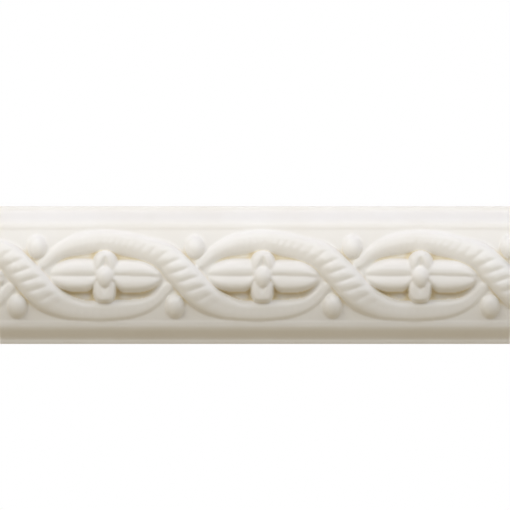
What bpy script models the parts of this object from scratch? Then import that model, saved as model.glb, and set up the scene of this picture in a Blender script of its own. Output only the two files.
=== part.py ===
# Decorative moulding, cast in one piece with a flat back.
# Twisted scrolls cross over one another and leave an eye between each two crossings.
# A flower of two long and two small petals round a bead lies in each eye, and a pearl lies on
# either side of each crossing. A fillet, an ogee hollow and a flat lip run along both edges.
# Metres, +Z up. X runs along the moulding, the face looks to -Y, and the back lies at y = 0.
# Depths are measured from the back, and a motif's height is measured from the field under it.

import math

import bmesh
import bpy
import numpy as np

# Length and repeat; a flower's middle lies at FLOWER_X
FACE_HEIGHT = 0.060
PITCH = 0.0685
REPEATS_SHOWN = 3.238
LENGTH = PITCH * REPEATS_SHOWN
FLOWER_X = 0.0033

# Profile, by distance from the middle line and depth from the back
LIP_INNER = 0.0282
LIP_DEPTH = 0.0050
LIP_LIFT = 0.0002
LIP_ROUND = 0.0006
HOLLOW_TURN = 0.0254
FILLET = 0.0219
FILLET_DEPTH = 0.0089
FIELD_EDGE = 0.0201
FIELD_STEP = 0.0002
FIELD_CROWN = 0.0003

# One scroll from tip to tip about the middle of its crossing: x and z of the centre line, half-width
SCROLL_STATIONS = (
    (-0.0608, 0.0040, 0.0028),
    (-0.0540, 0.0098, 0.0034),
    (-0.0460, 0.0130, 0.0046),
    (-0.0360, 0.0144, 0.0049),
    (-0.0260, 0.0134, 0.0052),
    (-0.0170, 0.0110, 0.0054),
    (-0.0080, 0.0074, 0.0063),
    (0.0000, -0.0001, 0.0066),
    (0.0080, -0.0084, 0.0067),
    (0.0160, -0.0131, 0.0055),
    (0.0250, -0.0153, 0.0044),
    (0.0350, -0.0152, 0.0047),
    (0.0460, -0.0145, 0.0040),
    (0.0545, -0.0118, 0.0030),
    (0.0614, -0.0051, 0.0026),
)
STEPS_PER_STATION = 50

# Its rise, by shares of the half-width, at the crossing, on the upper and on the lower arc, and how
# flat its section is at the crossing, towards the fillet, and towards the eye on each arc
CROSSING_RISE = 0.67
ARC_RISE = 0.35
SILL_RISE = 0.30
RISE_FADE = 0.0200
SCROLL_FULLNESS = 1.25
OUTER_FULLNESS = 1.60
INNER_FULLNESS = 0.70
SILL_FULLNESS = 1.50

# Rope twist on the scrolls, by shares of the scroll's half-width; its spacing narrows along the upper arc
TWIST_SLANT = 0.56
TWIST_DEPTH = 0.17
TWIST_POWER = 2.20
TWIST_REACH = 0.55
STRAND_FULLNESS = 0.70
TWIST_SPACING = ((-0.0260, 0.54), (-0.0190, 0.66), (-0.0150, 0.80))

# How fresh the twist is along the run: worn smooth on the arcs
TWIST_FADING = (
    (-0.0500, 0.10),
    (-0.0380, 0.90),
    (-0.0200, 1.00),
    (0.0060, 1.00),
    (0.0180, 0.25),
    (0.0520, 0.15),
)

# Ground of the eye between two scrolls, sunk below the field and deepest in its lower half
EYE_SINK = 0.0023
EYE_SHALLOW = 0.0017
EYE_SINK_TOP = 0.0024
EYE_SINK_FADE = 0.0060
EYE_SINK_END = 0.0250
EYE_END_FADE = 0.0090
EYE_SIDE_FADE = 0.0060

# Pearls above and below a crossing
PEARL_PLACES = ((0.0046, 0.0121), (-0.0038, -0.0135))
PEARL_HALF_WIDTH = 0.0041
PEARL_HALF_HEIGHT = 0.0051
PEARL_RISE = 0.0032

# Long petals: reach from the flower's middle, groove line at root and tip, and for each half its width,
# how far it is folded, where its crest lies and how flat it is
PETAL_SHOULDER = 0.0109
PETAL_WAIST = 0.0094
PETAL_ROOT = 0.0030
PETAL_RISE = 0.0033
PETAL_TAPER = 2.40
PETAL_ROUNDING = 0.65
LOBE_FULLNESS = 0.70
LEFT_PETAL = {
    "side": -1, "reach": 0.0250, "root": -0.0001, "tip": 0.0000, "tip_fullness": 1.10,
    "upper": (0.0074, 0.15, 1.10, 1.00),
    "lower": (0.0073, 0.20, 1.30, 3.00),
}
RIGHT_PETAL = {
    "side": 1, "reach": 0.0254, "root": 0.0000, "tip": -0.0009, "tip_fullness": 2.20,
    "upper": (0.0068, 0.09, 0.80, 1.30),
    "lower": (0.0077, 0.14, 1.30, 3.00),
}

# Small petals above and below the bead, each hollowed by a valley that opens to the bead
SMALL_RISE = 0.0038
SMALL_CROWN = 0.22
VALLEY_APEX = 0.0086
VALLEY_HALF_WIDTH = 0.0048
TOP_PETAL = {
    "side": 1, "middle": 0.0001, "half_width": 0.0067, "root": 0.0006, "reach": 0.0108,
    "square": 2.30, "full": 3.20, "taper": 0.28, "valley": 0.0020,
}
FOOT_PETAL = {
    "side": -1, "middle": -0.0002, "half_width": 0.0059, "root": 0.0012, "reach": 0.0122,
    "square": 3.00, "full": 4.40, "taper": 0.20, "valley": 0.0014,
}

# Egg-shaped bead at the flower's middle, narrower below
EGG_HALF_WIDTH = 0.0038
EGG_HALF_HEIGHT = 0.0049
EGG_DROP = 0.0010
EGG_TAPER = 0.22
EGG_BASE = 0.0022
EGG_RISE = 0.0034

# Surface
GRID_STEP = 0.0005
SOFTENINGS = 1
SOFTENING_SHARE = 0.5
FACES_KEPT = 9600
PLANE_TOLERANCE = 0.0002
HAIR = 0.000001
POINTS_AT_ONCE = 4000
FLAT_ANGLE = math.radians(0.05)
SHARP_ANGLE = math.radians(35)
PAINT_COLOUR = (0.80, 0.77, 0.69, 1.0)
PAINT_ROUGHNESS = 0.45


def dome(share):
    """Round section: 1 at the middle, 0 at the rim and beyond."""
    return np.sqrt(np.clip(1.0 - share**2, 0.0, None))


def eased(share):
    """Smooth step from 0 to 1."""
    share = np.clip(share, 0.0, 1.0)
    return share * share * (3.0 - 2.0 * share)


def profile_depth(z):
    """Depth of the run moulding: crowned field, fillet, ogee hollow and lip."""
    away = np.abs(z)
    field = FILLET_DEPTH - FIELD_STEP + FIELD_CROWN * (1.0 - (away / FIELD_EDGE) ** 2)
    width = LIP_INNER - FILLET
    across = np.clip((LIP_INNER - away) / width, 0.0, 1.0)
    half_way = math.log(0.5) / math.log((LIP_INNER - HOLLOW_TURN) / width)
    ogee = LIP_DEPTH + (FILLET_DEPTH - LIP_DEPTH) * eased(across**half_way)
    to_edge = np.clip((away - LIP_INNER) / (FACE_HEIGHT / 2 - LIP_INNER), 0.0, 1.0)
    to_arris = np.clip((away - (FACE_HEIGHT / 2 - LIP_ROUND)) / LIP_ROUND, 0.0, 1.0)
    outer = ogee + LIP_LIFT * to_edge - LIP_ROUND * (1.0 - dome(to_arris))
    return np.where(away < FIELD_EDGE, field, outer)


def smooth_run(stations, steps):
    """Points of a smooth curve through the stations, with every value carried along."""
    points = np.array(stations)
    first = 2 * points[0] - points[1]
    last = 2 * points[-1] - points[-2]
    padded = np.vstack([first, points, last])
    share = np.arange(steps)[:, None] / steps
    run = []
    for a, b, c, d in zip(padded, padded[1:], padded[2:], padded[3:]):
        run.append(
            0.5 * (2 * b + (c - a) * share + (2 * a - 5 * b + 4 * c - d) * share**2
                   + (3 * b - a - 3 * c + d) * share**3)
        )
    return np.vstack(run + [points[-1:]])


def scroll_run():
    """One whole scroll about its crossing: x, z, half-width, unit normal and twist phase."""
    run = smooth_run(SCROLL_STATIONS, STEPS_PER_STATION)
    along = np.gradient(run[:, :2], axis=0)
    step = np.linalg.norm(along, axis=1)
    along /= step[:, None]
    normal = np.stack([-along[:, 1], along[:, 0]], axis=1)
    turns = step / (np.interp(run[:, 0], *zip(*TWIST_SPACING)) * run[:, 2])
    phase = np.cumsum(turns) - turns / 2
    phase -= np.interp(0.0, run[:, 0], phase)
    return run[:, 0], run[:, 1], run[:, 2], normal, phase


def scroll_height(x, z, run):
    """Height of one scroll, with its rope twist; its inner side runs down to the sunk ground."""
    run_x, run_z, width, normal, phase = run
    margin = width.max()
    near = (x > run_x.min() - margin) & (x < run_x.max() + margin) & (np.abs(z) < FIELD_EDGE)
    height = np.full_like(x, -EYE_SINK)
    for row in np.array_split(np.flatnonzero(near), 1 + np.count_nonzero(near) // POINTS_AT_ONCE):
        gap_x = x[row, None] - run_x
        gap_z = z[row, None] - run_z
        nearest = np.argmin(np.hypot(gap_x, gap_z) - width, axis=1)
        pick = np.arange(len(row))
        off_x = gap_x[pick, nearest]
        off_z = gap_z[pick, nearest]
        half = width[nearest]
        hand = np.sign(off_x * normal[nearest, 0] + off_z * normal[nearest, 1])
        side = hand * np.clip(np.hypot(off_x, off_z) / half, 0.0, 1.0)
        inward = hand * run_x[nearest] / EYE_SIDE_FADE
        sink = EYE_SINK * np.clip(inward, 0.0, 1.0)
        full = SCROLL_FULLNESS + (OUTER_FULLNESS - SCROLL_FULLNESS) * np.clip(-inward, 0.0, 1.0)
        eye_side = np.where(run_x[nearest] < 0, INNER_FULLNESS, SILL_FULLNESS)
        full += (eye_side - SCROLL_FULLNESS) * np.clip(inward, 0.0, 1.0)
        slant = np.arcsin(side) * TWIST_SLANT
        strand = np.abs(np.cos(np.pi * (phase[nearest] - slant))) ** STRAND_FULLNESS
        arc = eased(np.abs(run_x[nearest]) / RISE_FADE)
        reach = 1.0 - (1.0 - TWIST_REACH) * arc
        fading = np.interp(run_x[nearest], *zip(*TWIST_FADING))
        fading *= 1.0 - np.clip(np.abs(side) / reach, 0.0, 1.0) ** TWIST_POWER
        arc_rise = np.where(run_x[nearest] < 0, ARC_RISE, SILL_RISE)
        rise = (CROSSING_RISE + (arc_rise - CROSSING_RISE) * arc) * half
        rise *= 1.0 - TWIST_DEPTH * fading * (1.0 - strand)
        rounded = (rise + sink) * dome(np.abs(side) ** full) - sink
        height[row] = np.where(np.abs(side) < 1.0, rounded, -EYE_SINK)
    return height


def pearl_height(x, z):
    """The two pearls of a crossing."""
    height = np.full_like(x, -EYE_SINK)
    for place_x, place_z in PEARL_PLACES:
        out = np.hypot((x - place_x) / PEARL_HALF_WIDTH, (z - place_z) / PEARL_HALF_HEIGHT)
        height = np.where(out < 1.0, PEARL_RISE * dome(out), height)
    return height


def petal_height(x, z, petal):
    """A long petal of two rounded lobes either side of a groove."""
    out = petal["side"] * x
    past = np.clip((out - PETAL_SHOULDER) / (petal["reach"] - PETAL_SHOULDER), 0.0, 1.0)
    up = z - petal["root"] - (petal["tip"] - petal["root"]) * past**2
    before = np.clip((PETAL_WAIST - out) / (PETAL_WAIST - PETAL_ROOT), 0.0, 1.0)
    before = np.where(up < 0, before, 0.0)
    plan = ((1.0 - past**PETAL_TAPER) * (1.0 - before**PETAL_TAPER)) ** PETAL_ROUNDING
    width, fold, crest, full = (
        np.where(up > 0, above, below) for above, below in zip(petal["upper"], petal["lower"])
    )
    share = np.clip(np.abs(up) / (width * np.maximum(plan, HAIR)), 0.0, 1.0)
    folded = np.abs(np.sin(np.pi * share**crest)) ** LOBE_FULLNESS
    lobes = (1.0 - fold) * dome(share**full) + fold * folded
    rise = (PETAL_RISE + EYE_SINK) * dome(past ** petal["tip_fullness"]) * lobes
    return np.where(out > 0, rise, 0.0) - EYE_SINK


def small_petal_height(x, z, petal):
    """A small petal, square-shouldered and full, over the roots of the long ones."""
    out = np.clip(petal["side"] * z, 0.0, None)
    half_width = petal["half_width"] * (1.0 - petal["taper"] * np.clip(out / petal["reach"], 0.0, 1.0))
    off = np.abs(x - petal["middle"]) / half_width
    half_length = (petal["reach"] - petal["root"]) / 2
    along = np.abs(out - petal["root"] - half_length) / half_length
    rim = (off ** petal["square"] + along ** petal["square"]) ** (1 / petal["square"])
    body = (1.0 - SMALL_CROWN + SMALL_CROWN * dome(off)) * dome(rim ** petal["full"])
    opening = np.clip(1.0 - out / VALLEY_APEX, 0.0, 1.0)
    half = np.maximum(VALLEY_HALF_WIDTH * opening, HAIR)
    valley = petal["valley"] * np.clip(1.0 - np.abs(x) / half, 0.0, 1.0) * np.sqrt(opening)
    rise = (SMALL_RISE + EYE_SINK) * body - valley
    return np.where(petal["side"] * z > 0, np.clip(rise, 0.0, None), 0.0) - EYE_SINK


def egg_height(x, z):
    """The bead, seated on the roots of the petals."""
    up = (z + EGG_DROP) / EGG_HALF_HEIGHT
    across = x / (EGG_HALF_WIDTH * (1.0 + EGG_TAPER * np.clip(up, -1.0, 0.0)))
    out = np.hypot(across, up)
    return np.where(out < 1.0, EGG_BASE + EGG_RISE * dome(out), -EYE_SINK)


def flower_height(x, z):
    """Long petals, small petals over them, and the bead on top."""
    height = np.maximum(petal_height(x, z, LEFT_PETAL), petal_height(x, z, RIGHT_PETAL))
    for petal in (TOP_PETAL, FOOT_PETAL):
        height = np.maximum(height, small_petal_height(x, z, petal))
    return np.maximum(height, egg_height(x, z))


def eye_ground(x, z, run):
    """Level of the ground inside a flower's eye, whose rim lies under the scrolls over and under it."""
    run_x, run_z = run[0], run[1]
    over = np.interp(x, run_x + PITCH / 2, run_z, left=0.0, right=0.0)
    under = np.interp(x, run_x - PITCH / 2, run_z, left=0.0, right=0.0)
    low = eased((EYE_SINK_TOP - z) / EYE_SINK_FADE)
    ends = eased((EYE_SINK_END - np.abs(x)) / EYE_END_FADE)
    deep = (EYE_SHALLOW + (EYE_SINK - EYE_SHALLOW) * low) * ends
    return np.where((z < over) & (z > under), -deep, 0.0)


def centres(first, reach):
    """Places along the length, a pitch apart, of the motifs whose reach touches the moulding."""
    count = math.ceil((LENGTH / 2 + reach) / PITCH) + 1
    places = [first + PITCH * step for step in range(-count, count + 1)]
    return [place for place in places if abs(place) < LENGTH / 2 + reach]


def relief_depth(x, z):
    """Depth of the carved face from the back at every x and z."""
    run = scroll_run()
    motif = np.zeros_like(x)
    for place in centres(FLOWER_X, run[0].max()):
        motif = np.minimum(motif, eye_ground(x - place, z, run))
    for place in centres(FLOWER_X + PITCH / 2, run[0].max()):
        motif = np.maximum(motif, scroll_height(x - place, z, run))
        motif = np.maximum(motif, pearl_height(x - place, z))
    for place in centres(FLOWER_X, PITCH / 2):
        motif = np.maximum(motif, flower_height(x - place, z))
    return profile_depth(z) + motif


def carved_sheet():
    """The face as an open sheet, thinned where it is nearly flat."""
    shape = bmesh.new()
    bmesh.ops.create_grid(
        shape,
        x_segments=round(LENGTH / GRID_STEP),
        y_segments=round(FACE_HEIGHT / GRID_STEP),
        size=0.5,
    )
    x = np.array([vert.co.x for vert in shape.verts]) * LENGTH
    z = np.array([vert.co.y for vert in shape.verts]) * FACE_HEIGHT
    for vert, place_x, depth, place_z in zip(shape.verts, x, relief_depth(x, z), z):
        vert.co = (place_x, -depth, place_z)
    for _ in range(SOFTENINGS):
        bmesh.ops.smooth_vert(shape, verts=shape.verts[:], factor=SOFTENING_SHARE, use_axis_y=True)
    bmesh.ops.triangulate(shape, faces=shape.faces[:])
    mesh = bpy.data.meshes.new("carved_sheet")
    shape.to_mesh(mesh)
    sheet = bpy.data.objects.new("carved_sheet", mesh)
    bpy.context.scene.collection.objects.link(sheet)
    thinning = sheet.modifiers.new("thinning", "DECIMATE")
    thinning.ratio = FACES_KEPT / len(shape.faces)
    shape.free()
    thinned = sheet.evaluated_get(bpy.context.evaluated_depsgraph_get())
    result = bmesh.new()
    result.from_mesh(thinned.to_mesh())
    bpy.data.objects.remove(sheet)
    bpy.data.meshes.remove(mesh)
    return result


def close_to_back(shape):
    """Square the border, draw it back to the wall plane and close the back."""
    border = [edge for edge in shape.edges if edge.is_boundary]
    for vert in {vert for edge in border for vert in edge.verts}:
        if abs(abs(vert.co.x) - LENGTH / 2) < PLANE_TOLERANCE:
            vert.co.x = math.copysign(LENGTH / 2, vert.co.x)
        if abs(abs(vert.co.z) - FACE_HEIGHT / 2) < PLANE_TOLERANCE:
            vert.co.z = math.copysign(FACE_HEIGHT / 2, vert.co.z)
    drawn = bmesh.ops.extrude_edge_only(shape, edges=border)["geom"]
    for vert in (item for item in drawn if isinstance(item, bmesh.types.BMVert)):
        vert.co.y = 0.0
    rim = [edge for edge in shape.edges if edge.is_boundary]
    bmesh.ops.holes_fill(shape, edges=rim, sides=len(rim))
    walls = [face for face in shape.faces if any(abs(vert.co.y) < HAIR for vert in face.verts)]
    bmesh.ops.dissolve_limit(
        shape,
        angle_limit=FLAT_ANGLE,
        verts=list({vert for face in walls for vert in face.verts}),
        edges=list({edge for face in walls for edge in face.edges}),
    )
    bmesh.ops.recalc_face_normals(shape, faces=shape.faces[:])


def paint():
    """Factory primed cream-white, satin."""
    material = bpy.data.materials.new("primed_cream")
    material.use_nodes = True
    shader = material.node_tree.nodes["Principled BSDF"]
    shader.inputs["Base Color"].default_value = PAINT_COLOUR
    shader.inputs["Roughness"].default_value = PAINT_ROUGHNESS
    shader.inputs["Metallic"].default_value = 0.0
    return material


def moulding():
    """The whole piece as one solid."""
    shape = carved_sheet()
    close_to_back(shape)
    mesh = bpy.data.meshes.new("moulding")
    shape.to_mesh(mesh)
    shape.free()
    mesh.materials.append(paint())
    mesh.shade_smooth()
    mesh.set_sharp_from_angle(angle=SHARP_ANGLE)
    piece = bpy.data.objects.new("moulding", mesh)
    bpy.context.scene.collection.objects.link(piece)
    return piece


def main():
    for old in list(bpy.data.objects):
        bpy.data.objects.remove(old)
    moulding()


main()
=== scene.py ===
import math

import bmesh
import bpy
import numpy as np
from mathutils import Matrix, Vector


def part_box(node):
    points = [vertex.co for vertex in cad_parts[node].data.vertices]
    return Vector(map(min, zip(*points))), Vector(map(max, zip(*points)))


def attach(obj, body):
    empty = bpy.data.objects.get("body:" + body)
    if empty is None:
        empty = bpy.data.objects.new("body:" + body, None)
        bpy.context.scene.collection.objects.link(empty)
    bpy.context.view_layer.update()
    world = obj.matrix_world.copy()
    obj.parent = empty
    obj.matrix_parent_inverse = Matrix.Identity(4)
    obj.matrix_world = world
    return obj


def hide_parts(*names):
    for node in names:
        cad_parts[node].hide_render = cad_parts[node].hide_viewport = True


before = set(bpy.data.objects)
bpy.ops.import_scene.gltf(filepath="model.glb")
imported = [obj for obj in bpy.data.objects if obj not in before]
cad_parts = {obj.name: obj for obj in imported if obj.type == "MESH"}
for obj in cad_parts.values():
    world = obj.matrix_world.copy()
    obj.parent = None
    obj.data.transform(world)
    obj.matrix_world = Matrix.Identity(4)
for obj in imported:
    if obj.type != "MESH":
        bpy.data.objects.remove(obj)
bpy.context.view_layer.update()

# Metres, +Z up. The moulding runs along X, its back lies on y = 0 and its face looks to -Y.
lowest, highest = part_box("moulding")
length = highest.x - lowest.x
faceHeight = highest.z - lowest.z
deepest = highest.y - lowest.y  # most that the carving stands out from the back

moulding = {
    "pitch": 0.0685,    # flower to flower
    "flowerX": 0.0033,  # middle of one flower
    # profile, by distance from the middle line and depth from the back
    "lipInner": 0.0282,     # where the flat lip meets the hollow
    "lipDepth": 0.0050,
    "lipLift": 0.0002,      # by which the lip rises to its outer edge
    "lipRound": 0.0006,
    "hollowTurn": 0.0254,   # where the ogee hollow is half-way up
    "fillet": 0.0219,       # outer edge of the flat run between field and hollow
    "fieldEdge": 0.0201,
    "filletDepth": 0.0089,
    "fieldStep": 0.0002,    # by which the field lies behind the fillet
    "fieldCrown": 0.0003,   # by which its middle stands out
    # one scroll, from tip to tip over the middle of its crossing: x, z, half-width
    "scrollStations": (
        (-0.0608, 0.0040, 0.0028),
        (-0.0540, 0.0098, 0.0034),
        (-0.0460, 0.0130, 0.0046),
        (-0.0360, 0.0144, 0.0049),
        (-0.0260, 0.0134, 0.0052),
        (-0.0170, 0.0110, 0.0054),
        (-0.0080, 0.0074, 0.0063),
        (0.0, -0.0001, 0.0066),
        (0.0080, -0.0084, 0.0067),
        (0.0160, -0.0131, 0.0055),
        (0.0250, -0.0153, 0.0044),
        (0.0350, -0.0152, 0.0047),
        (0.0460, -0.0145, 0.0040),
        (0.0545, -0.0118, 0.0030),
        (0.0614, -0.0051, 0.0026),
    ),
    "crossingRise": 0.67,    # share of the half-width, and along the arcs:
    "arcRise": 0.35,         # the upper one
    "sillRise": 0.30,        # and the lower one
    "riseFade": 0.0200,      # from the crossing to the full arc
    "scrollFullness": 1.25,  # how flat the section is: at the crossing,
    "outerFullness": 1.6,    # on the side towards the fillet,
    "innerFullness": 0.70,   # on the side towards the eye of the upper arc
    "sillFullness": 1.5,     # and of the lower arc
    "stepsPerStation": 50,
    # twist sizes are shares of the half-width; the spacing narrows along the upper arc
    "twistSpacing": ((-0.0260, 0.54), (-0.0190, 0.66), (-0.0150, 0.80)),
    "twistSlant": 0.56,
    "twistDepth": 0.17,
    "twistPower": 2.2,   # by which it dies out towards the edges
    "twistReach": 0.55,  # part of an arc's width that is twisted
    # strength of the twist along the run: worn smooth on the arcs, fresh at the crossing
    "twistFading": (
        (-0.0500, 0.10), (-0.0380, 0.90), (-0.0200, 1.0),
        (0.0060, 1.0), (0.0180, 0.25), (0.0520, 0.15),
    ),
    "strandFullness": 0.7,  # full strands with narrow grooves
    # ground of the eye between two scrolls, deepest in its lower half
    "eyeSink": 0.0023,
    "eyeShallow": 0.0017,   # the same in the upper half
    "eyeSinkTop": 0.0024,   # height at which it starts to deepen
    "eyeSinkFade": 0.0060,
    "eyeSinkEnd": 0.0250,   # how far it goes from the flower's middle
    "eyeEndFade": 0.0090,
    "eyeSideFade": 0.0060,  # along the scroll, from the crossing to a full eye side
    # pearls above and below a crossing
    "pearlPlaces": ((0.0046, 0.0121), (-0.0038, -0.0135)),
    "pearlHalfWidth": 0.0041,
    "pearlHalfHeight": 0.0051,
    "pearlRise": 0.0032,
    # long petals, by distance from the flower's middle
    "petalShoulder": 0.0109,  # from here outward they narrow to the tip
    "petalWaist": 0.0094,     # from here inward the lower half narrows to its root
    "petalRoot": 0.0030,
    "petalRise": 0.0033,
    "petalTaper": 2.4,
    "petalRounding": 0.65,
    "lobeFullness": 0.7,
    # root and tip are heights of the groove line; a half has its width, how far it is folded,
    # where its crest lies and how flat it is
    "longPetals": (
        {"side": -1, "reach": 0.0250, "root": -0.0001, "tip": 0.0, "tipFullness": 1.1,
         "upper": (0.0074, 0.15, 1.1, 1.0), "lower": (0.0073, 0.20, 1.3, 3.0)},
        {"side": 1, "reach": 0.0254, "root": 0.0, "tip": -0.0009, "tipFullness": 2.2,
         "upper": (0.0068, 0.09, 0.8, 1.3), "lower": (0.0077, 0.14, 1.3, 3.0)},
    ),
    # small petals above and below the bead, hollowed by a valley
    "smallRise": 0.0038,
    "smallCrown": 0.22,
    "valleyApex": 0.0086,
    "valleyHalfWidth": 0.0048,
    "smallPetals": (
        {"side": 1, "middle": 0.0001, "halfWidth": 0.0067, "root": 0.0006,
         "reach": 0.0108, "square": 2.3, "full": 3.2, "taper": 0.28, "valley": 0.0020},
        {"side": -1, "middle": -0.0002, "halfWidth": 0.0059, "root": 0.0012,
         "reach": 0.0122, "square": 3.0, "full": 4.4, "taper": 0.20, "valley": 0.0014},
    ),
    # egg-shaped bead at the flower's middle
    "eggHalfWidth": 0.0038,
    "eggHalfHeight": 0.0049,
    "eggDrop": 0.0010,
    "eggTaper": 0.22,
    "eggBase": 0.0022,
    "eggRise": 0.0034,
    # mesh
    "cell": 0.00039,
    "softenings": 4,      # rounds the arrises, as the primer does
    "softeningShare": 0.5,
    # painted shade: the base colour is darkened and warmed in the hollows, standing in for the
    # shade there
    "shadeMaskReach": 0.0040,  # how far around a point the painted-shade mask looks
    "shadeMaskStart": 0.0007,  # how far below its surroundings a point starts to take painted shade
    "shadeMaskDepth": 0.0013,  # and how much further down it takes the full painted shade
    "sharpAngle": 60,       # degrees
    "batch": 4000,          # points worked out at a time
}
hair = 1e-6  # least width that is divided by


def dome(share):  # round section: 1 in the middle, 0 at the rim
    return np.sqrt(np.clip(1.0 - share**2, 0.0, None))


def eased(share):
    share = np.clip(share, 0.0, 1.0)
    return share * share * (3.0 - 2.0 * share)


def profileDepth(z):
    m = moulding
    away = np.abs(z)
    crown = m["fieldCrown"] * (1.0 - (away / m["fieldEdge"]) ** 2)
    field = m["filletDepth"] - m["fieldStep"] + crown
    width = m["lipInner"] - m["fillet"]
    across = np.clip((m["lipInner"] - away) / width, 0.0, 1.0)
    halfWay = math.log(0.5) / math.log((m["lipInner"] - m["hollowTurn"]) / width)
    ogee = m["lipDepth"] + (m["filletDepth"] - m["lipDepth"]) * eased(across**halfWay)
    toEdge = np.clip((away - m["lipInner"]) / (faceHeight / 2 - m["lipInner"]), 0.0, 1.0)
    toArris = np.clip((away - faceHeight / 2 + m["lipRound"]) / m["lipRound"], 0.0, 1.0)
    outer = ogee + m["lipLift"] * toEdge - m["lipRound"] * (1.0 - dome(toArris))
    return np.where(away < m["fieldEdge"], field, outer)


def smoothRun(stations, steps):  # smooth curve through the stations, every value carried along
    points = np.array(stations)
    padded = np.vstack([2 * points[0] - points[1], points, 2 * points[-1] - points[-2]])
    share = np.arange(steps)[:, None] / steps
    run = []
    for a, b, c, d in zip(padded, padded[1:], padded[2:], padded[3:]):
        square = (2 * a - 5 * b + 4 * c - d) * share**2
        cube = (3 * b - a - 3 * c + d) * share**3
        run.append(0.5 * (2 * b + (c - a) * share + square + cube))
    return np.vstack(run + [points[-1:]])


def scrollRun():  # one whole scroll about its crossing
    run = smoothRun(moulding["scrollStations"], moulding["stepsPerStation"])
    along = np.gradient(run[:, :2], axis=0)
    step = np.linalg.norm(along, axis=1)
    along /= step[:, None]
    normal = np.stack([-along[:, 1], along[:, 0]], axis=1)
    turns = step / (np.interp(run[:, 0], *zip(*moulding["twistSpacing"])) * run[:, 2])
    phase = np.cumsum(turns) - turns / 2
    phase -= np.interp(0.0, run[:, 0], phase)
    return run[:, 0], run[:, 1], run[:, 2], normal, phase


def scrollHeight(x, z, run):
    m = moulding
    runX, runZ, width, normal, phase = run
    margin = width.max()
    near = (x > runX.min() - margin) & (x < runX.max() + margin) & (np.abs(z) < m["fieldEdge"])
    height = np.full_like(x, -m["eyeSink"])
    for row in np.array_split(np.flatnonzero(near), 1 + np.count_nonzero(near) // m["batch"]):
        gapX = x[row, None] - runX
        gapZ = z[row, None] - runZ
        nearest = np.argmin(np.hypot(gapX, gapZ) - width, axis=1)
        pick = np.arange(len(row))
        offX = gapX[pick, nearest]
        offZ = gapZ[pick, nearest]
        half = width[nearest]
        hand = np.sign(offX * normal[nearest, 0] + offZ * normal[nearest, 1])
        side = hand * np.clip(np.hypot(offX, offZ) / half, 0.0, 1.0)
        inward = hand * runX[nearest] / m["eyeSideFade"]
        sink = m["eyeSink"] * np.clip(inward, 0.0, 1.0)
        flat = m["scrollFullness"]
        eyeSide = np.where(runX[nearest] < 0, m["innerFullness"], m["sillFullness"])
        full = flat + (m["outerFullness"] - flat) * np.clip(-inward, 0.0, 1.0)
        full += (eyeSide - flat) * np.clip(inward, 0.0, 1.0)
        slant = np.arcsin(side) * m["twistSlant"]
        strand = np.abs(np.cos(np.pi * (phase[nearest] - slant))) ** m["strandFullness"]
        fading = np.interp(runX[nearest], *zip(*m["twistFading"]))
        arc = eased(np.abs(runX[nearest]) / m["riseFade"])
        reach = 1.0 - (1.0 - m["twistReach"]) * arc
        fading *= 1.0 - np.clip(np.abs(side) / reach, 0.0, 1.0) ** m["twistPower"]
        arcRise = np.where(runX[nearest] < 0, m["arcRise"], m["sillRise"])
        rise = (m["crossingRise"] + (arcRise - m["crossingRise"]) * arc) * half
        rise *= 1.0 - m["twistDepth"] * fading * (1.0 - strand)
        rounded = (rise + sink) * dome(np.abs(side) ** full) - sink
        height[row] = np.where(np.abs(side) < 1.0, rounded, -m["eyeSink"])
    return height


def pearlHeight(x, z):
    m = moulding
    height = np.full_like(x, -m["eyeSink"])
    for placeX, placeZ in m["pearlPlaces"]:
        out = np.hypot((x - placeX) / m["pearlHalfWidth"], (z - placeZ) / m["pearlHalfHeight"])
        height = np.where(out < 1.0, m["pearlRise"] * dome(out), height)
    return height


def petalHeight(x, z, petal):  # two rounded lobes either side of a groove
    m = moulding
    out = petal["side"] * x
    past = np.clip((out - m["petalShoulder"]) / (petal["reach"] - m["petalShoulder"]), 0.0, 1.0)
    up = z - petal["root"] - (petal["tip"] - petal["root"]) * past**2
    before = np.clip((m["petalWaist"] - out) / (m["petalWaist"] - m["petalRoot"]), 0.0, 1.0)
    before = np.where(up < 0, before, 0.0)
    taper = m["petalTaper"]
    plan = ((1.0 - past**taper) * (1.0 - before**taper)) ** m["petalRounding"]
    width, fold, crest, full = (
        np.where(up > 0, above, below) for above, below in zip(petal["upper"], petal["lower"])
    )
    share = np.clip(np.abs(up) / (width * np.maximum(plan, hair)), 0.0, 1.0)
    folded = np.abs(np.sin(np.pi * share**crest)) ** m["lobeFullness"]
    lobes = (1.0 - fold) * dome(share**full) + fold * folded
    rise = (m["petalRise"] + m["eyeSink"]) * dome(past ** petal["tipFullness"]) * lobes
    return np.where(out > 0, rise, 0.0) - m["eyeSink"]


def smallPetalHeight(x, z, petal):
    m = moulding
    out = np.clip(petal["side"] * z, 0.0, None)
    outward = np.clip(out / petal["reach"], 0.0, 1.0)
    halfWidth = petal["halfWidth"] * (1.0 - petal["taper"] * outward)
    off = np.abs(x - petal["middle"]) / halfWidth
    halfLength = (petal["reach"] - petal["root"]) / 2
    along = np.abs(out - petal["root"] - halfLength) / halfLength
    rim = (off ** petal["square"] + along ** petal["square"]) ** (1 / petal["square"])
    crown = 1.0 - m["smallCrown"] + m["smallCrown"] * dome(off)
    body = crown * dome(rim ** petal["full"])
    opening = np.clip(1.0 - out / m["valleyApex"], 0.0, 1.0)
    half = np.maximum(m["valleyHalfWidth"] * opening, hair)
    valley = petal["valley"] * np.clip(1.0 - np.abs(x) / half, 0.0, 1.0) * np.sqrt(opening)
    rise = (m["smallRise"] + m["eyeSink"]) * body - valley
    return np.where(petal["side"] * z > 0, np.clip(rise, 0.0, None), 0.0) - m["eyeSink"]


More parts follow.
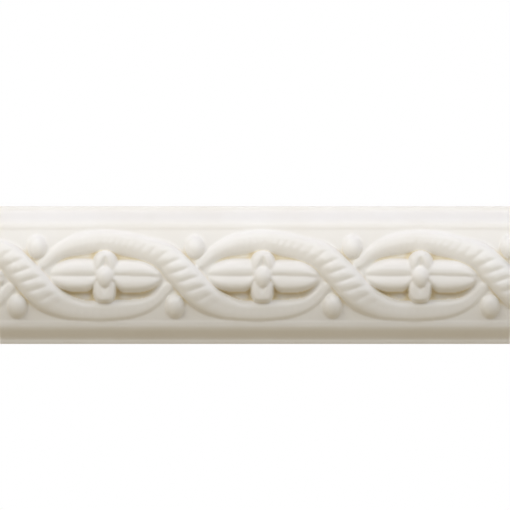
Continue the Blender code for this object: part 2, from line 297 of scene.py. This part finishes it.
def eggHeight(x, z):
    m = moulding
    up = (z + m["eggDrop"]) / m["eggHalfHeight"]
    across = x / (m["eggHalfWidth"] * (1.0 + m["eggTaper"] * np.clip(up, -1.0, 0.0)))
    out = np.hypot(across, up)
    return np.where(out < 1.0, m["eggBase"] + m["eggRise"] * dome(out), -m["eyeSink"])


def flowerHeight(x, z):
    height = eggHeight(x, z)
    for petal in moulding["longPetals"]:
        height = np.maximum(height, petalHeight(x, z, petal))
    for petal in moulding["smallPetals"]:
        height = np.maximum(height, smallPetalHeight(x, z, petal))
    return height


def eyeGround(x, z, run):  # its rim lies under the scrolls over and under it
    m = moulding
    over = np.interp(x, run[0] + m["pitch"] / 2, run[1], left=0.0, right=0.0)
    under = np.interp(x, run[0] - m["pitch"] / 2, run[1], left=0.0, right=0.0)
    low = eased((m["eyeSinkTop"] - z) / m["eyeSinkFade"])
    ends = eased((m["eyeSinkEnd"] - np.abs(x)) / m["eyeEndFade"])
    deep = (m["eyeShallow"] + (m["eyeSink"] - m["eyeShallow"]) * low) * ends
    return np.where((z < over) & (z > under), -deep, 0.0)


def centres(first, reach):  # places a pitch apart whose motif touches the moulding
    pitch = moulding["pitch"]
    count = math.ceil((length / 2 + reach) / pitch) + 1
    places = [first + pitch * step for step in range(-count, count + 1)]
    return [place for place in places if abs(place) < length / 2 + reach]


def reliefDepth(x, z):
    m = moulding
    run = scrollRun()
    motif = np.zeros_like(x)
    for place in centres(m["flowerX"], run[0].max()):
        motif = np.minimum(motif, eyeGround(x - place, z, run))
    for place in centres(m["flowerX"] + m["pitch"] / 2, run[0].max()):
        motif = np.maximum(motif, scrollHeight(x - place, z, run))
        motif = np.maximum(motif, pearlHeight(x - place, z))
    for place in centres(m["flowerX"], m["pitch"] / 2):
        motif = np.maximum(motif, flowerHeight(x - place, z))
    return profileDepth(z) + motif


def paintedShadeMask(x, z, depth):  # 1 where the surface lies well below its surroundings, which is where shade is painted into the colour
    m = moulding
    order = np.lexsort((x, z))
    grid = depth[order].reshape(-1, np.unique(x.round(7)).size)
    reach = round(m["shadeMaskReach"] / m["cell"])
    weights = np.exp(-2.0 * (np.arange(-reach, reach + 1) / reach) ** 2)  # nearer points count more
    weights /= weights.sum()
    around = np.pad(grid, reach, mode="edge")
    around = np.apply_along_axis(np.convolve, 1, around, weights, mode="valid")
    around = np.apply_along_axis(np.convolve, 0, around, weights, mode="valid")
    mask = np.empty_like(depth)
    mask[order] = eased((around - grid - m["shadeMaskStart"]) / m["shadeMaskDepth"]).ravel()
    return mask


def carvedMesh():
    m = moulding
    shape = bmesh.new()
    columns = round(length / m["cell"])
    rows = round(faceHeight / m["cell"])
    bmesh.ops.create_grid(shape, x_segments=columns, y_segments=rows, size=0.5)
    x = np.array([vert.co.x for vert in shape.verts]) * length
    z = np.array([vert.co.y for vert in shape.verts]) * faceHeight
    depth = reliefDepth(x, z)
    # painted shade: how deep each point lies in a hollow, which the paint darkens
    paintedShade = shape.verts.layers.float.new("paintedShade")
    for vert, *place, mask in zip(shape.verts, x, -depth, z, paintedShadeMask(x, z, depth)):
        vert.co = place
        vert[paintedShade] = mask
    for _ in range(m["softenings"]):
        bmesh.ops.smooth_vert(
            shape, verts=shape.verts[:], factor=m["softeningShare"], use_axis_y=True
        )
    for vert in shape.verts:
        vert.co.y = max(vert.co.y, -deepest)
    border = [edge for edge in shape.edges if edge.is_boundary]
    drawn = bmesh.ops.extrude_edge_only(shape, edges=border)["geom"]
    for vert in (item for item in drawn if isinstance(item, bmesh.types.BMVert)):
        vert.co.y = 0.0
        vert[paintedShade] = 0.0
    rim = [edge for edge in shape.edges if edge.is_boundary]
    bmesh.ops.holes_fill(shape, edges=rim, sides=len(rim))
    bmesh.ops.recalc_face_normals(shape, faces=shape.faces[:])
    return shape


paint = {
    "light": (0.83, 0.808, 0.762, 1.0),
    "dark": (0.81, 0.782, 0.728, 1.0),
    "paintedShadeTint": (0.88, 0.77, 0.52, 1.0),  # painted shade: warm darkening in the hollows, standing in for shade and bounce light
    "paintedShadeShare": 0.85,
    "foam": (0.78, 0.72, 0.58, 1.0),
    "skin": 0.0001,             # thickness of the primer
    "cloudScale": 45.0,         # faint change from light to dark
    "cloudSpread": (0.35, 0.65),
    "grainScale": 1400.0,       # fine tooth of the primer
    "grainSpread": (0.3, 0.7),
    "grainHeight": 0.00001,
    "waveScale": 260.0,         # slight unevenness of the cast
    "waveHeight": 0.00005,
    "roughness": (0.36, 0.50),
}


def noise(tree, coord, scale, detail, rough=0.5):
    node = tree.nodes.new("ShaderNodeTexNoise")
    node.inputs["Scale"].default_value = scale
    node.inputs["Detail"].default_value = detail
    node.inputs["Roughness"].default_value = rough
    tree.links.new(coord.outputs["Object"], node.inputs["Vector"])
    return node.outputs["Fac"]


def mapped(tree, value, taken, given):  # value from the first range to the second
    node = tree.nodes.new("ShaderNodeMapRange")
    for name, number in zip(("From Min", "From Max", "To Min", "To Max"), taken + given):
        node.inputs[name].default_value = number
    tree.links.new(value, node.inputs["Value"])
    return node.outputs["Result"]


def blended(tree, share, first, second, kind="MIX"):
    node = tree.nodes.new("ShaderNodeMix")
    node.data_type = "RGBA"
    node.blend_type = kind
    for name, value in (("Factor_Float", share), ("A_Color", first), ("B_Color", second)):
        socket = next(item for item in node.inputs if item.identifier == name)
        if isinstance(value, (tuple, float)):
            socket.default_value = value
        else:
            tree.links.new(value, socket)
    return next(item for item in node.outputs if item.identifier == "Result_Color")


def bumped(tree, value, height, under=None):
    node = tree.nodes.new("ShaderNodeBump")
    node.inputs["Distance"].default_value = height
    tree.links.new(value, node.inputs["Height"])
    if under:
        tree.links.new(under, node.inputs["Normal"])
    return node.outputs["Normal"]


def primedPaint():
    material = bpy.data.materials.new("primedCream")
    material.use_nodes = True
    tree = material.node_tree
    shader = tree.nodes["Principled BSDF"]
    coord = tree.nodes.new("ShaderNodeTexCoord")
    paintedShade = tree.nodes.new("ShaderNodeAttribute")
    paintedShade.attribute_name = "paintedShade"
    cloudy = noise(tree, coord, paint["cloudScale"], 3.0)
    grain = noise(tree, coord, paint["grainScale"], 2.0, 0.6)
    waves = noise(tree, coord, paint["waveScale"], 2.0)

    cloudy = mapped(tree, cloudy, paint["cloudSpread"], (0.0, 1.0))
    tone = blended(tree, cloudy, paint["light"], paint["dark"])
    # painted shade: the base colour is darkened and warmed in the hollows
    depth = mapped(tree, paintedShade.outputs["Fac"], (0.0, 1.0), (0.0, paint["paintedShadeShare"]))
    tone = blended(tree, depth, tone, paint["paintedShadeTint"], "MULTIPLY")
    # bare foam on the back and on the cut ends
    split = tree.nodes.new("ShaderNodeSeparateXYZ")
    tree.links.new(coord.outputs["Object"], split.inputs["Vector"])
    away = tree.nodes.new("ShaderNodeMath")
    away.operation = "ABSOLUTE"
    tree.links.new(split.outputs["X"], away.inputs[0])
    skin = paint["skin"]
    back = mapped(tree, split.outputs["Y"], (-2 * skin, -skin), (0.0, 1.0))
    edge = length / 2
    ends = mapped(tree, away.outputs["Value"], (edge - 2 * skin, edge - skin), (0.0, 1.0))
    tone = blended(tree, back, tone, paint["foam"])
    tone = blended(tree, ends, tone, paint["foam"])
    tree.links.new(tone, shader.inputs["Base Color"])
    rough = mapped(tree, grain, paint["grainSpread"], paint["roughness"])
    tree.links.new(rough, shader.inputs["Roughness"])

    normal = bumped(tree, waves, paint["waveHeight"])
    normal = bumped(tree, grain, paint["grainHeight"], normal)
    tree.links.new(normal, shader.inputs["Normal"])
    return material


def makeMoulding():
    shape = carvedMesh()
    mesh = bpy.data.meshes.new("carvedMoulding")
    shape.to_mesh(mesh)
    shape.free()
    mesh.materials.append(primedPaint())
    mesh.shade_smooth()
    mesh.set_sharp_from_angle(angle=math.radians(moulding["sharpAngle"]))
    piece = bpy.data.objects.new("carvedMoulding", mesh)
    bpy.context.scene.collection.objects.link(piece)
    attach(piece, "root")
    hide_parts("moulding")
    print("moulding:", len(mesh.polygons), "faces")


floor = {
    "drop": 0.160,  # below the middle of the moulding
    "half": 0.60,
    "colour": (0.86, 0.86, 0.85, 1.0),
    "roughness": 0.8,
    "glow": 0.60,   # keeps it evenly pale, as no lamp is near it
}


def makeFloor():
    shape = bmesh.new()
    bmesh.ops.create_grid(shape, x_segments=1, y_segments=1, size=floor["half"])
    bmesh.ops.translate(shape, verts=shape.verts[:], vec=(0.0, 0.0, -floor["drop"]))
    mesh = bpy.data.meshes.new("paleFloor")
    shape.to_mesh(mesh)
    shape.free()
    material = bpy.data.materials.new("paleFloor")
    material.use_nodes = True
    shader = material.node_tree.nodes["Principled BSDF"]
    shader.inputs["Base Color"].default_value = floor["colour"]
    shader.inputs["Roughness"].default_value = floor["roughness"]
    shader.inputs["Emission Color"].default_value = floor["colour"]
    shader.inputs["Emission Strength"].default_value = floor["glow"]
    mesh.materials.append(material)
    plate = bpy.data.objects.new("paleFloor", mesh)
    bpy.context.scene.collection.objects.link(plate)
    plate.visible_diffuse = False  # lets the light of the studio pass from below
    plate.visible_glossy = False
    plate.visible_shadow = False
    print("floor:", floor["drop"], "below the middle")


camera = {
    "lens": 400,           # mm
    "sensor": 36,          # mm
    "sharpPlane": 0.0065,  # the length fills the picture at this distance from the back
    "rise": 0.0087,        # above the middle of the moulding
    "farthest": 20,
}


def makeCamera():
    data = bpy.data.cameras.new("camera")
    data.lens = camera["lens"]
    data.sensor_width = camera["sensor"]
    data.clip_end = camera["farthest"]
    rig = bpy.data.objects.new("camera", data)
    away = length * camera["lens"] / camera["sensor"]
    rig.location = (0.0, -camera["sharpPlane"] - away, camera["rise"])
    rig.rotation_euler = (math.radians(90), 0.0, 0.0)
    bpy.context.scene.collection.objects.link(rig)
    bpy.context.scene.camera = rig
    print("camera:", round(away, 3), "away")


lights = {
    # a long strip near the top edge rakes the carving, a second one reaches down into it, a soft
    # one at the left gives the bosses their side, and one behind lights the back and the top edge
    "lamps": (
        {"name": "rake", "bearing": 0, "height": 30, "away": 0.07, "size": (0.6, 0.03),
         "watts": 0.149, "colour": (0.89, 0.93, 1.0)},
        {"name": "top", "bearing": 0, "height": 70, "away": 0.09, "size": (0.6, 0.03),
         "watts": 0.108, "colour": (0.90, 0.89, 1.0)},
        {"name": "side", "bearing": -50, "height": 30, "away": 1.5, "size": (0.5, 0.5),
         "watts": 2.76, "colour": (1.0, 0.91, 0.70)},
        {"name": "behind", "bearing": 180, "height": 40, "away": 1.5, "size": (0.5, 0.5),
         "watts": 7.0, "colour": (1.0, 0.95, 0.88)},
    ),
    "below": (0.53, 0.47, 0.37, 1.0),  # warm light of the studio from the lower half
    "horizon": (0.05, -0.05),          # where it starts and where it is full
    "backdrop": (1.0, 1.0, 1.0, 1.0),
}


def makeLamp(lamp):
    data = bpy.data.lights.new(lamp["name"], "AREA")
    data.shape = "RECTANGLE"
    data.size, data.size_y = lamp["size"]
    data.energy = lamp["watts"]
    data.color = lamp["colour"]
    rig = bpy.data.objects.new(lamp["name"], data)
    bearing = math.radians(lamp["bearing"])
    height = math.radians(lamp["height"])
    flat = math.cos(height)
    towards = Vector((math.sin(bearing) * flat, -math.cos(bearing) * flat, math.sin(height)))
    rig.location = towards * lamp["away"]
    rig.rotation_euler = (-towards).to_track_quat("-Z", "Y").to_euler()
    rig.visible_camera = False
    bpy.context.scene.collection.objects.link(rig)


def makeWorld():  # white to the camera, a soft fill for the moulding
    world = bpy.data.worlds.new("studio")
    bpy.context.scene.world = world
    world.use_nodes = True
    tree = world.node_tree
    tree.nodes.clear()
    coord = tree.nodes.new("ShaderNodeTexCoord")
    split = tree.nodes.new("ShaderNodeSeparateXYZ")
    tree.links.new(coord.outputs["Generated"], split.inputs["Vector"])
    down = mapped(tree, split.outputs["Z"], lights["horizon"], (0.0, 1.0))
    fill = tree.nodes.new("ShaderNodeBackground")
    fill.inputs["Color"].default_value = lights["below"]
    tree.links.new(down, fill.inputs["Strength"])
    white = tree.nodes.new("ShaderNodeBackground")
    white.inputs["Color"].default_value = lights["backdrop"]
    path = tree.nodes.new("ShaderNodeLightPath")
    mix = tree.nodes.new("ShaderNodeMixShader")
    out = tree.nodes.new("ShaderNodeOutputWorld")
    tree.links.new(path.outputs["Is Camera Ray"], mix.inputs["Fac"])
    tree.links.new(fill.outputs["Background"], mix.inputs[1])
    tree.links.new(white.outputs["Background"], mix.inputs[2])
    tree.links.new(mix.outputs["Shader"], out.inputs["Surface"])


makeMoulding()
makeFloor()
makeCamera()
for lamp in lights["lamps"]:
    makeLamp(lamp)
makeWorld()
print("lights:", len(lights["lamps"]), "lamps and the studio")
bpy.context.scene.view_settings.view_transform = "Standard"
